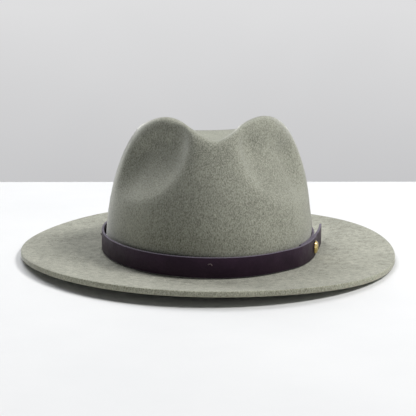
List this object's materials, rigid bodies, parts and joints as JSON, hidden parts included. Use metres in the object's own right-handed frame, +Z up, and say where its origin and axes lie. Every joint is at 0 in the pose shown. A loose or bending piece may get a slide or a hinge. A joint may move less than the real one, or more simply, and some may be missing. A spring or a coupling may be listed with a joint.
{
  "type": "fedora hat",
  "caption": "Grey-green felt fedora with a teardrop crown, front pinches, a flat raw-edge brim and a dark leather band closed by a domed brass stud.",
  "frame": {"origin": "middle of the box round the hat, on the surface that the hat rests on", "axes": "+Z up through the crown; -Y is the wearer's front; +X is the wearer's left"},
  "size_m": [0.3112, 0.3458, 0.1208],
  "materials": {
    "felt": "brushed fur felt",
    "band_leather": "smooth, cut edges",
    "brass": "polished",
    "thread": "waxed thread",
    "sweat_leather": "soft, matt",
    "reed_plastic": "matt",
    "ribbon": "ribbed ribbon",
    "satin": "satin",
    "tab_cloth": "woven tape"
  },
  "bodies": {
    "hat": {"felt_body": "felt", "hat_band": "band_leather", "stud_post": "brass", "band_tacks": "thread", "sweatband": "sweat_leather", "sweatband_reed": "reed_plastic", "sweatband_tape": "ribbon", "sweatband_stitching": "thread", "rear_seam_tape": "ribbon", "sweatband_bow": "ribbon", "lining_side": "satin", "lining_tip": "satin", "size_tab": "tab_cloth"},
    "tail": {"band_tail": "band_leather"},
    "stud": {"stud_cap": "brass"}
  },
  "joints": [
    {"name": "tail_flex", "type": "hinge", "parent": "hat", "child": "tail", "pos_m": [0.08718, -0.02851, 0.0132], "axis": [0, 0, -1], "range_deg": [-5, 25], "stiffness_Nm_per_rad": 0.01},
    {"name": "stud_turn", "type": "hinge", "parent": "hat", "child": "stud", "pos_m": [0.08517, -0.03975, 0.0132], "axis": [0.9555, -0.2951, 0], "continuous": true}
  ]
}
